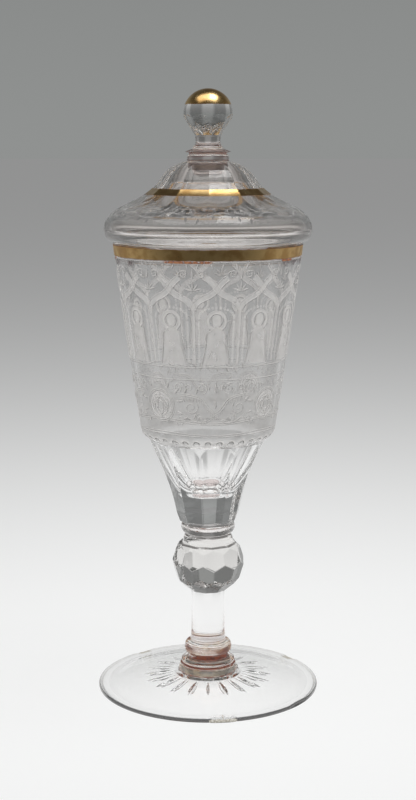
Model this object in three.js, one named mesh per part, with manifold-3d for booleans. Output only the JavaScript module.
// Covered goblet of clear glass: blown, facet cut, engraved and gilt, with a loose lid.
// Millimetres, +Z up. The origin is the centre of the foot's underside.
// Every piece is turned about the Z axis. Angle 0 faces the front (-Y) and grows towards +X.

import * as THREE from 'three';
import { mergeVertices } from 'three/addons/utils/BufferGeometryUtils.js';
import Module from 'manifold-3d';

const wasm = await Module();
wasm.setup();

// Foot: a low hollow cone that stands on a ground ring, with a raised pad for the stem.
const footRadius = 56;
const footEdge = 2.2;
const footHeight = 7.8;
const footWall = 3.6;
const footRingWidth = 3;
const footSweepRadius = 30.4;
const footSweepHeight = 4.2;
const footHollowRadius = 38.1;
const footHollowHeight = 2.8;
const footPadRadius = 17.3;
const footPadRise = 0.7;
const pontilRadius = 11;
const pontilDepth = 0.8;

// Foot rays: wide and narrow cuts in turn, ground into the top of the foot by a wheel.
const rayCount = 20;
const rayInnerRadius = 18.8;
const rayOuterRadius = 32.5;
const rayWheelRadius = 24;
const wideRayWidth = 4.4;
const narrowRayWidth = 2.4;
const rayEdgeDepth = 1.6;

// Stem rings, from the foot up. A seat is the radius at which a piece meets the one below.
const baseDiscHeight = 4.2;
const baseDiscRadius = 14.8;
const baseDiscSeat = 14.3;
const baseDiscFullest = 0.25;
const lowerRingHeight = 4.5;
const lowerRingRadius = 13.5;
const lowerRingSeat = 12.9;
const lowerRingEdge = 1.6;
const lowerRingSlope = 0.9;
const upperRingHeight = 8.3;
const upperRingRadius = 12;
const upperRingSeat = 9.9;
const upperRingNeck = 0.8;
const upperRingBulge = 6.2;

// Stem: a short waisted column.
const stemHeight = 25.5;
const stemSeat = 9;
const stemWaist = 8.3;
const stemTurn = 2.6;

// Knop: a ball cut all over with staggered rows of flat facets.
const knopHeight = 29;
const knopSeat = 8.6;
const knopCentreRise = 15;
const knopFacets = 10;
const knopRows = [
  { latitude: -49, distance: 17.05 },
  { latitude: -16.5, distance: 17.05 },
  { latitude: 16.5, distance: 17.05 },
  { latitude: 46, distance: 16.4 },
];
const knopRowReach = 16.7;
const knopShoulderRadius = 12.6;
const knopShoulderDrop = 3.4;

// Collar: the flat ring between the knop and the bowl.
const collarHeight = 7;
const collarRadius = 13.7;
const collarSeat = 10.6;
const collarUndersideRadius = 13.2;
const collarUndersideRise = 1.3;
const collarEdgeRise = 3.9;
const collarEdgeHeight = 1.7;
const collarGroove = 0.9;

// Bowl: a solid base under a slim, slightly flared body.
const bowlSeat = 12.5;
const bowlHeelHeight = 4.6;
const bowlHeelRadius = 17.2;
const bowlBaseHeight = 41;
const bowlBaseWaist = 20.8;
const bowlBaseRadius = 29.2;
const bowlShoulderHeight = 6;
const bowlShoulderRadius = 33.5;
const bowlBodyHeight = 93.7;
const bowlMouthRadius = 46.5;
const bowlFlare = 0.8;
const bowlFlareAt = 0.79;
const bowlWall = 2.6;
const bowlBaseWall = 4.4;
const bowlFloorThickness = 14.4;
const bowlInnerWaist = 15;
const bowlFloorRadius = 8.5;
const bowlFloorCorner = 3;
const bowlLipRadius = 0.8;

// Bowl facets: long flat cuts round the solid base, each arched at its top.
const bowlFacets = 10;
const bowlFacetTurn = 28;
const bowlFacetDepth = 2.1;
const bowlFacetSeat = 13.55;
const bowlFacetTop = 1.2;
const bowlFacetRunOut = 3;

// Gilding lies on the glass as a film.
const gildingThickness = 0.3;
const gildingGap = 0.1;
const rimGildingDrop = 1.5;
const rimGildingWidth = 5.3;

// Lid: a rolled rim over a flange that drops into the bowl, and a faceted dome.
const lidRollHeight = 6.4;
const lidRadius = 51;
const lidShoulderHeight = 18.6;
const lidShoulderRadius = 38.6;
const lidShoulderSweep = 4;
const lidSweepHeight = 28.6;
const lidSweepRadius = 25.4;
const lidHeight = 38.6;
const lidSeat = 9.8;
const lidWall = 3.4;
const lidLumpRadius = 8.6;
const lidLumpDepth = 7.6;
const lidLumpRise = 2.4;
const lidHollowRadius = 12.6;
const lidHollowDepth = 4;
const lidInnerSweepRadius = 19.6;
const lidInnerSweepDepth = 11;
const lidFlangeDepth = 9;
const lidFlangeWall = 2.4;
const lidFlangeClearance = 0.6;

// Lid facets: flat cuts that run from the finial down to a scalloped edge on the shoulder.
const lidFacets = 12;
const lidFacetTurn = 1;
const lidFacetDepth = 2;
const lidFacetEdge = 42.4;
const lidFacetEdgeHeight = 16.5;
const lidFacetSweepRadius = 29;
const lidFacetSweepHeight = 21;
const lidFacetTopRadius = 19.4;
const lidFacetRunOut = 9.4;
const lidGildingHeight = 22.5;
const lidGildingWidth = 3.1;

// Finial: bead, thin disc, neck and ball, with a gilt cap on the ball.
const finialBeadHeight = 3.6;
const finialBeadRadius = 10.3;
const finialBeadFullest = 0.25;
const finialDiscHeight = 1.6;
const finialDiscRadius = 11.1;
const finialDiscSeat = 8.6;
const finialDiscEdge = 0.3;
const finialNeckHeight = 6.9;
const finialNeckSeat = 9.3;
const finialNeckWaist = 6;
const finialNeckSweep = 1.6;
const finialNeckWaistRise = 4.4;
const finialBallRadius = 12;
const finialBallSeat = 6.3;
const finialBallFacets = 8;
const finialBallFacetTurn = 6;
const finialCapDrop = 7.5;

// A radius outside every piece, for the forms that cut and trim them.
const clearRadius = 80;

// Smoothness of the round pieces.
const wideSides = 48;
const slimSides = 30;
const curveSteps = 3;
const ballSteps = 6;

const clearGlass = { color: 0xd8dad6, roughness: 0.05, metalness: 0, transparent: true, opacity: 0.4 };
const engravedGlass = { color: 0xc9c8c4, roughness: 0.35, metalness: 0, transparent: true, opacity: 0.55 };
const gold = { color: 0xc8973f, roughness: 0.25, metalness: 1 };

// Heights at which the pieces meet, stacked from the foot up.
const baseDiscZ = footHeight;
const lowerRingZ = baseDiscZ + baseDiscHeight;
const upperRingZ = lowerRingZ + lowerRingHeight;
const stemZ = upperRingZ + upperRingHeight;
const knopZ = stemZ + stemHeight;
const collarZ = knopZ + knopHeight;
const bowlZ = collarZ + collarHeight;
const bowlShoulderZ = bowlZ + bowlBaseHeight;
const bowlBodyZ = bowlShoulderZ + bowlShoulderHeight;
const rimZ = bowlBodyZ + bowlBodyHeight;
const lidTopZ = rimZ + lidHeight;
const finialDiscZ = lidTopZ + finialBeadHeight;
const finialNeckZ = finialDiscZ + finialDiscHeight;
const finialBallZ = finialNeckZ + finialNeckHeight;
const ballCentreZ = finialBallZ + Math.sqrt(finialBallRadius ** 2 - finialBallSeat ** 2);

const goblet = new THREE.Group();

// A closed geometry becomes a solid once its shared vertices are merged.
function solidFrom(geometry) {
  geometry.deleteAttribute('normal');
  geometry.deleteAttribute('uv');
  const merged = mergeVertices(geometry);
  const corners = Array.from(merged.index.array);
  const triangles = [];
  for (let i = 0; i < corners.length; i += 3) {
    const [a, b, c] = corners.slice(i, i + 3);
    if (a !== b && b !== c && c !== a) triangles.push(a, b, c);
  }
  return new wasm.Manifold(new wasm.Mesh({
    numProp: 3,
    vertProperties: new Float32Array(merged.attributes.position.array),
    triVerts: new Uint32Array(triangles),
  }));
}

// Revolves outline points (radius, height) about the Z axis. The outline runs up the outside.
function revolve(points, sides, firstAngle = 0) {
  const lathe = new THREE.LatheGeometry(points, sides, firstAngle);
  lathe.rotateX(Math.PI / 2);
  return solidFrom(lathe);
}

function turned(outline, sides = slimSides, steps = curveSteps) {
  return revolve(outline.getPoints(steps), sides);
}

// Flat sides round the axis. The outline's radii are measured to the middle of each side.
function flatSided(outline, sides, edgeDegrees) {
  const cornerScale = 1 / Math.cos(Math.PI / sides);
  const corners = outline.getPoints(curveSteps).map((p) => new THREE.Vector2(p.x * cornerScale, p.y));
  return revolve(corners, sides, THREE.MathUtils.degToRad(edgeDegrees));
}

function outlineFrom(radius, height) {
  const outline = new THREE.Path();
  outline.moveTo(radius, height);
  return outline;
}

// Radius of a curved wall at one height, on the straight steps that the wall is built of.
function radiusAt(curve, height) {
  const points = curve.getPoints(curveSteps);
  const above = Math.max(1, points.findIndex((p) => p.y >= height));
  const [low, high] = [points[above - 1], points[above]];
  return THREE.MathUtils.mapLinear(height, low.y, high.y, low.x, high.x);
}

function addPiece(name, solid, look) {
  const mesh = solid.getMesh();
  const geometry = new THREE.BufferGeometry();
  geometry.setAttribute('position', new THREE.BufferAttribute(mesh.vertProperties, mesh.numProp));
  geometry.setIndex(new THREE.BufferAttribute(mesh.triVerts, 1));
  geometry.computeVertexNormals();
  const piece = new THREE.Mesh(geometry, new THREE.MeshStandardMaterial(look));
  piece.name = name;
  goblet.add(piece);
}

// Top of the foot: from the edge, rising in a hollow curve to the pad.
const footTop = new THREE.QuadraticBezierCurve(
  new THREE.Vector2(footRadius - footEdge / 2, footEdge),
  new THREE.Vector2(footSweepRadius, footSweepHeight),
  new THREE.Vector2(footPadRadius, footHeight - footPadRise),
);

function footBlank() {
  const under = footHeight - footPadRise - footWall;
  const ringInner = footRadius - footEdge - footRingWidth;
  const outline = outlineFrom(0, under + pontilDepth);
  outline.lineTo(pontilRadius - pontilDepth, under + pontilDepth);
  outline.lineTo(pontilRadius, under);
  outline.quadraticCurveTo(footHollowRadius, footHollowHeight, ringInner, 0);
  outline.lineTo(ringInner + footRingWidth, 0);
  outline.quadraticCurveTo(footRadius, 0, footRadius, footEdge / 2);
  outline.quadraticCurveTo(footRadius, footEdge, footTop.v0.x, footTop.v0.y);
  outline.quadraticCurveTo(footTop.v1.x, footTop.v1.y, footTop.v2.x, footTop.v2.y);
  outline.quadraticCurveTo(baseDiscSeat + footPadRise, footHeight, baseDiscSeat, footHeight);
  outline.lineTo(0, footHeight);
  return turned(outline, wideSides);
}

// Height of the foot's top at one radius.
function footHeightAt(radius) {
  const points = footTop.getPoints(curveSteps);
  const inside = Math.max(1, points.findIndex((p) => p.x <= radius));
  const [outer, inner] = [points[inside - 1], points[inside]];
  return THREE.MathUtils.mapLinear(radius, outer.x, inner.x, outer.y, inner.y);
}

// One cut of a sharp-edged wheel that enters and leaves the foot at the ray's two ends.
function ray(angle, width) {
  const start = new THREE.Vector2(rayInnerRadius, footHeightAt(rayInnerRadius));
  const end = new THREE.Vector2(rayOuterRadius, footHeightAt(rayOuterRadius));
  const chord = end.clone().sub(start);
  const lift = Math.sqrt(rayWheelRadius ** 2 - chord.lengthSq() / 4);
  const upward = new THREE.Vector2(-chord.y, chord.x).normalize();
  const centre = start.clone().add(end).multiplyScalar(0.5).addScaledVector(upward, lift);
  const rim = outlineFrom(0, -width / 2);
  rim.lineTo(rayWheelRadius - rayEdgeDepth, -width / 2);
  rim.lineTo(rayWheelRadius, 0);
  rim.lineTo(rayWheelRadius - rayEdgeDepth, width / 2);
  rim.lineTo(0, width / 2);
  const wheel = new THREE.LatheGeometry(rim.getPoints(), wideSides);
  wheel.translate(centre.x, 0, centre.y);
  wheel.rotateZ(angle);
  return solidFrom(wheel);
}

function foot() {
  let solid = footBlank();
  for (let i = 0; i < rayCount; i += 1) {
    const width = i % 2 === 0 ? wideRayWidth : narrowRayWidth;
    solid = solid.subtract(ray((i / rayCount) * 2 * Math.PI, width));
  }
  return solid;
}

// A ring that swells from its lower seat to its full radius and draws in to its upper seat.
function swelledRing(z, height, seat, radius, topSeat, fullest) {
  const outline = outlineFrom(0, z);
  outline.lineTo(seat, z);
  outline.quadraticCurveTo(radius, z, radius, z + height * fullest);
  outline.quadraticCurveTo(radius, z + height, topSeat, z + height);
  outline.lineTo(0, z + height);
  return turned(outline);
}

function baseDisc() {
  return swelledRing(baseDiscZ, baseDiscHeight, baseDiscSeat, baseDiscRadius, lowerRingSeat, baseDiscFullest);
}

// The lower ring has a crisp upper edge, then sweeps in to the neck above it.
function lowerRing() {
  const edgeZ = lowerRingZ + lowerRingEdge;
  const outline = outlineFrom(0, lowerRingZ);
  outline.lineTo(lowerRingSeat, lowerRingZ);
  outline.quadraticCurveTo(lowerRingRadius, lowerRingZ, lowerRingRadius, edgeZ);
  outline.quadraticCurveTo(upperRingSeat, edgeZ + lowerRingSlope, upperRingSeat, upperRingZ);
  outline.lineTo(0, upperRingZ);
  return turned(outline);
}

// The upper ring bulges between a plain neck below and the stem above.
function upperRing() {
  const bulgeZ = upperRingZ + upperRingNeck;
  const outline = outlineFrom(0, upperRingZ);
  outline.lineTo(upperRingSeat, upperRingZ);
  outline.lineTo(upperRingSeat, bulgeZ);
  outline.quadraticCurveTo(upperRingRadius, bulgeZ, upperRingRadius, bulgeZ + upperRingBulge / 2);
  outline.quadraticCurveTo(upperRingRadius, bulgeZ + upperRingBulge, stemSeat, bulgeZ + upperRingBulge);
  outline.lineTo(stemSeat, stemZ);
  outline.lineTo(0, stemZ);
  return turned(outline);
}

function stem() {
  const outline = outlineFrom(0, stemZ);
  outline.lineTo(stemSeat, stemZ);
  outline.quadraticCurveTo(stemWaist, stemZ + stemTurn, stemWaist, stemZ + stemHeight / 2);
  outline.quadraticCurveTo(stemWaist, knopZ - stemTurn, knopSeat, knopZ);
  outline.lineTo(0, knopZ);
  return turned(outline);
}

// Each row of knop facets is a cone of flat sides that touches the ball at one latitude.
function knopRow({ latitude, distance }, edgeDegrees) {
  const lean = THREE.MathUtils.degToRad(latitude);
  const centre = knopZ + knopCentreRise;
  const radiusOff = (rise) => (distance - rise * Math.sin(lean)) / Math.cos(lean);
  const outline = outlineFrom(0, centre - knopRowReach);
  outline.lineTo(radiusOff(-knopRowReach), centre - knopRowReach);
  outline.lineTo(radiusOff(knopRowReach), centre + knopRowReach);
  outline.lineTo(0, centre + knopRowReach);
  return flatSided(outline, knopFacets, edgeDegrees);
}

// The cut ball is trimmed between its seats and joined by a core that ends in a round shoulder.
function knop() {
  const halfStep = 180 / knopFacets;
  const rows = knopRows.map((row, i) => knopRow(row, bowlFacetTurn + i * halfStep));
  const between = outlineFrom(0, knopZ);
  between.lineTo(clearRadius, knopZ);
  between.lineTo(clearRadius, collarZ);
  between.lineTo(0, collarZ);
  const ball = rows.reduce((solid, row) => solid.intersect(row), turned(between));
  const core = outlineFrom(0, knopZ);
  core.lineTo(knopSeat, knopZ);
  core.lineTo(knopShoulderRadius, collarZ - knopShoulderDrop);
  core.quadraticCurveTo(knopShoulderRadius, collarZ, collarSeat, collarZ);
  core.lineTo(0, collarZ);
  return ball.add(turned(core));
}

// A sharp-edged ring: a rounded underside, the edge, and a small groove under the bowl.
function bowlCollar() {
  const edgeZ = collarZ + collarEdgeRise;
  const grooveZ = bowlZ - collarGroove;
  const outline = outlineFrom(0, collarZ);
  outline.lineTo(collarSeat, collarZ);
  outline.quadraticCurveTo(collarUndersideRadius, collarZ + collarUndersideRise, collarRadius, edgeZ);
  outline.quadraticCurveTo(collarRadius, edgeZ + collarEdgeHeight, bowlSeat, grooveZ);
  outline.lineTo(bowlSeat, bowlZ);
  outline.lineTo(0, bowlZ);
  return turned(outline);
}

// Outside of the bowl's body, from the shoulder to the rim.
const bowlBody = new THREE.QuadraticBezierCurve(
  new THREE.Vector2(bowlShoulderRadius, bowlBodyZ),
  new THREE.Vector2(
    THREE.MathUtils.lerp(bowlShoulderRadius, bowlMouthRadius, bowlFlareAt) + bowlFlare,
    THREE.MathUtils.lerp(bowlBodyZ, rimZ, bowlFlareAt),
  ),
  new THREE.Vector2(bowlMouthRadius, rimZ - bowlLipRadius),
);

// Inside of the bowl's body, one wall in from the outside.
const bowlInside = new THREE.QuadraticBezierCurve(
  new THREE.Vector2(bowlBody.v0.x - bowlWall, bowlBody.v0.y),
  new THREE.Vector2(bowlBody.v1.x - bowlWall, bowlBody.v1.y),
  new THREE.Vector2(bowlBody.v2.x - bowlWall, bowlBody.v2.y),
);

// The blown form before cutting: up the outside, over the lip and down to the inner floor.
function bowlBlank() {
  const floorZ = bowlZ + bowlFloorThickness;
  const shoulderMiddleZ = bowlShoulderZ + bowlShoulderHeight / 2;
  const baseMiddleZ = bowlZ + bowlBaseHeight / 2;
  const innerBaseRadius = bowlBaseRadius - bowlBaseWall;
  const mouthInside = bowlInside.v2.x;
  const outline = outlineFrom(0, bowlZ);
  outline.lineTo(bowlSeat, bowlZ);
  outline.quadraticCurveTo(bowlHeelRadius, bowlZ, bowlHeelRadius, bowlZ + bowlHeelHeight);
  outline.quadraticCurveTo(bowlBaseWaist, baseMiddleZ, bowlBaseRadius, bowlShoulderZ);
  outline.quadraticCurveTo(bowlShoulderRadius, shoulderMiddleZ, bowlBody.v0.x, bowlBody.v0.y);
  outline.quadraticCurveTo(bowlBody.v1.x, bowlBody.v1.y, bowlBody.v2.x, bowlBody.v2.y);
  outline.quadraticCurveTo(bowlMouthRadius, rimZ, bowlMouthRadius - bowlLipRadius, rimZ);
  outline.lineTo(mouthInside + bowlLipRadius, rimZ);
  outline.quadraticCurveTo(mouthInside, rimZ, mouthInside, bowlInside.v2.y);
  outline.quadraticCurveTo(bowlInside.v1.x, bowlInside.v1.y, bowlInside.v0.x, bowlInside.v0.y);
  outline.quadraticCurveTo(bowlInside.v0.x, shoulderMiddleZ, innerBaseRadius, bowlShoulderZ);
  outline.quadraticCurveTo(bowlInnerWaist, baseMiddleZ, bowlFloorRadius, floorZ + bowlFloorCorner);
  outline.quadraticCurveTo(bowlFloorRadius, floorZ, bowlFloorRadius - bowlFloorCorner, floorZ);
  outline.lineTo(0, floorZ);
  return turned(outline, wideSides);
}

// The flat sides lie inside the blank up to the shoulder, then run out past it in an arch.
function bowl() {
  const heelZ = bowlZ + bowlHeelHeight;
  const topZ = bowlShoulderZ + bowlFacetTop;
  const cuts = outlineFrom(0, bowlZ);
  cuts.lineTo(bowlFacetSeat, bowlZ);
  cuts.lineTo(bowlHeelRadius - bowlFacetDepth, heelZ);
  cuts.quadraticCurveTo(bowlBaseWaist - bowlFacetDepth, (heelZ + topZ) / 2, bowlBaseRadius, topZ);
  cuts.lineTo(bowlShoulderRadius, topZ + bowlFacetRunOut);
  cuts.lineTo(clearRadius, topZ + bowlFacetRunOut);
  cuts.lineTo(clearRadius, rimZ + bowlLipRadius);
  cuts.lineTo(0, rimZ + bowlLipRadius);
  return bowlBlank().intersect(flatSided(cuts, bowlFacets, bowlFacetTurn));
}

// A film between two heights of a wall, standing off by the gilding's gap.
function film(wall, lowZ, highZ, makeSolid) {
  const [low, high] = [radiusAt(wall, lowZ) + gildingGap, radiusAt(wall, highZ) + gildingGap];
  const outline = outlineFrom(low, lowZ);
  outline.lineTo(low + gildingThickness, lowZ);
  outline.lineTo(high + gildingThickness, highZ);
  outline.lineTo(high, highZ);
  outline.lineTo(low, lowZ);
  return makeSolid(outline);
}

function rimGilding() {
  const topZ = rimZ - rimGildingDrop;
  return film(bowlBody, topZ - rimGildingWidth, topZ, (outline) => turned(outline, wideSides));
}

// Middle of the lid's flat cuts, from the scalloped edge up to the finial.
const lidCutSweep = new THREE.QuadraticBezierCurve(
  new THREE.Vector2(lidFacetEdge, rimZ + lidFacetEdgeHeight),
  new THREE.Vector2(lidFacetSweepRadius, rimZ + lidFacetSweepHeight),
  new THREE.Vector2(lidSweepRadius - lidFacetDepth, rimZ + lidSweepHeight),
);

// Outline of the lid: the lump of the finial's gather that hangs in the crown, the inside of the
// dome, the flange, the rolled rim, the shoulder and the outside of the dome.
function lidBlank() {
  const flangeRadius = radiusAt(bowlInside, rimZ - lidFlangeDepth) - lidFlangeClearance;
  const flangeInside = flangeRadius - lidFlangeWall;
  const flangeBottom = rimZ - lidFlangeDepth;
  const rollInside = lidRadius - lidWall;
  const lumpZ = lidTopZ - lidLumpDepth;
  const hollowZ = lidTopZ - lidHollowDepth;
  const innerSweepZ = lidTopZ - lidInnerSweepDepth;
  const shoulderZ = rimZ + lidShoulderHeight;
  const innerShoulderZ = shoulderZ - lidWall;
  const sweepZ = rimZ + lidSweepHeight;
  const rollZ = rimZ + lidRollHeight;
  const outline = outlineFrom(0, lumpZ);
  outline.quadraticCurveTo(lidLumpRadius, lumpZ, lidLumpRadius, lumpZ + lidLumpRise);
  outline.quadraticCurveTo(lidLumpRadius, hollowZ, lidHollowRadius, hollowZ);
  outline.quadraticCurveTo(lidInnerSweepRadius - lidWall / 2, hollowZ, lidInnerSweepRadius, innerSweepZ);
  outline.quadraticCurveTo(lidInnerSweepRadius + lidWall, innerShoulderZ + lidShoulderSweep,
    lidShoulderRadius - lidWall, innerShoulderZ);
  outline.quadraticCurveTo(rollInside, innerShoulderZ - lidWall, rollInside, rollZ);
  outline.quadraticCurveTo(rollInside, rimZ + lidWall, flangeInside, rimZ + lidWall);
  outline.lineTo(flangeInside, flangeBottom);
  outline.lineTo(flangeRadius, flangeBottom);
  outline.lineTo(flangeRadius, rimZ);
  outline.lineTo(bowlMouthRadius, rimZ);
  outline.quadraticCurveTo(lidRadius, rimZ, lidRadius, rollZ);
  outline.quadraticCurveTo(lidRadius, (rollZ + shoulderZ) / 2, lidShoulderRadius, shoulderZ);
  outline.quadraticCurveTo(lidSweepRadius + lidWall, shoulderZ + lidShoulderSweep, lidSweepRadius, sweepZ);
  outline.quadraticCurveTo(lidSweepRadius - lidWall, lidTopZ, lidSeat + lidFacetDepth, lidTopZ);
  outline.lineTo(0, lidTopZ);
  return turned(outline, wideSides);
}

function lid() {
  const cuts = outlineFrom(0, rimZ - lidFlangeDepth * 2);
  cuts.lineTo(clearRadius, rimZ - lidFlangeDepth * 2);
  cuts.lineTo(clearRadius, lidCutSweep.v0.y - lidFacetRunOut);
  cuts.lineTo(lidCutSweep.v0.x, lidCutSweep.v0.y);
  cuts.quadraticCurveTo(lidCutSweep.v1.x, lidCutSweep.v1.y, lidCutSweep.v2.x, lidCutSweep.v2.y);
  cuts.quadraticCurveTo(lidFacetTopRadius, lidTopZ - lidFacetDepth, lidSeat, lidTopZ);
  cuts.lineTo(0, lidTopZ);
  return lidBlank().intersect(flatSided(cuts, lidFacets, lidFacetTurn));
}

function lidGilding() {
  const lowZ = rimZ + lidGildingHeight;
  const makeSolid = (outline) => flatSided(outline, lidFacets, lidFacetTurn);
  return film(lidCutSweep, lowZ, lowZ + lidGildingWidth, makeSolid);
}

function finialBead() {
  return swelledRing(lidTopZ, finialBeadHeight, lidSeat, finialBeadRadius, finialDiscSeat, finialBeadFullest);
}

function finialDisc() {
  const middleZ = finialDiscZ + finialDiscHeight / 2;
  const outline = outlineFrom(0, finialDiscZ);
  outline.lineTo(finialDiscSeat, finialDiscZ);
  outline.lineTo(finialDiscRadius, middleZ - finialDiscEdge / 2);
  outline.lineTo(finialDiscRadius, middleZ + finialDiscEdge / 2);
  outline.lineTo(finialNeckSeat, finialNeckZ);
  outline.lineTo(0, finialNeckZ);
  return turned(outline);
}

function finialNeck() {
  const outline = outlineFrom(0, finialNeckZ);
  outline.lineTo(finialNeckSeat, finialNeckZ);
  outline.quadraticCurveTo(finialNeckWaist, finialNeckZ + finialNeckSweep,
    finialNeckWaist, finialNeckZ + finialNeckWaistRise);
  outline.lineTo(finialBallSeat, finialBallZ);
  outline.lineTo(0, finialBallZ);
  return turned(outline);
}

// The ball's lower half is cut in flat facets that run out at its widest line.
function finialBall() {
  const seatAngle = -Math.acos(finialBallSeat / finialBallRadius);
  const sphere = outlineFrom(0, finialBallZ);
  sphere.lineTo(finialBallSeat, finialBallZ);
  sphere.absarc(0, ballCentreZ, finialBallRadius, seatAngle, Math.PI / 2, false);
  const cutSeat = finialBallSeat * Math.cos(Math.PI / finialBallFacets);
  const rise = ballCentreZ - finialBallZ;
  const cuts = outlineFrom(0, finialBallZ);
  cuts.lineTo(cutSeat, finialBallZ);
  cuts.lineTo(finialBallRadius, ballCentreZ);
  cuts.lineTo(finialBallRadius * 2 - cutSeat, ballCentreZ + rise);
  cuts.lineTo(finialBallRadius * 2 - cutSeat, ballCentreZ + finialBallRadius * 2);
  cuts.lineTo(0, ballCentreZ + finialBallRadius * 2);
  const ball = turned(sphere, slimSides, ballSteps);
  return ball.intersect(flatSided(cuts, finialBallFacets, finialBallFacetTurn));
}

function finialCap() {
  const inner = finialBallRadius + gildingGap;
  const outer = inner + gildingThickness;
  const edgeAngle = Math.asin((finialBallRadius - finialCapDrop) / finialBallRadius);
  const outline = outlineFrom(0, ballCentreZ + inner);
  outline.absarc(0, ballCentreZ, inner, Math.PI / 2, edgeAngle, true);
  outline.absarc(0, ballCentreZ, outer, edgeAngle, Math.PI / 2, false);
  return turned(outline);
}

addPiece('foot', foot(), clearGlass);
addPiece('base_disc', baseDisc(), clearGlass);
addPiece('lower_ring', lowerRing(), clearGlass);
addPiece('upper_ring', upperRing(), clearGlass);
addPiece('stem', stem(), clearGlass);
addPiece('knop', knop(), clearGlass);
addPiece('bowl_collar', bowlCollar(), clearGlass);
addPiece('bowl', bowl(), engravedGlass);
addPiece('rim_gilding', rimGilding(), gold);
addPiece('lid', lid(), engravedGlass);
addPiece('lid_gilding', lidGilding(), gold);
addPiece('finial_bead', finialBead(), clearGlass);
addPiece('finial_disc', finialDisc(), clearGlass);
addPiece('finial_neck', finialNeck(), clearGlass);
addPiece('finial_ball', finialBall(), clearGlass);
addPiece('finial_cap', finialCap(), gold);

export default goblet;
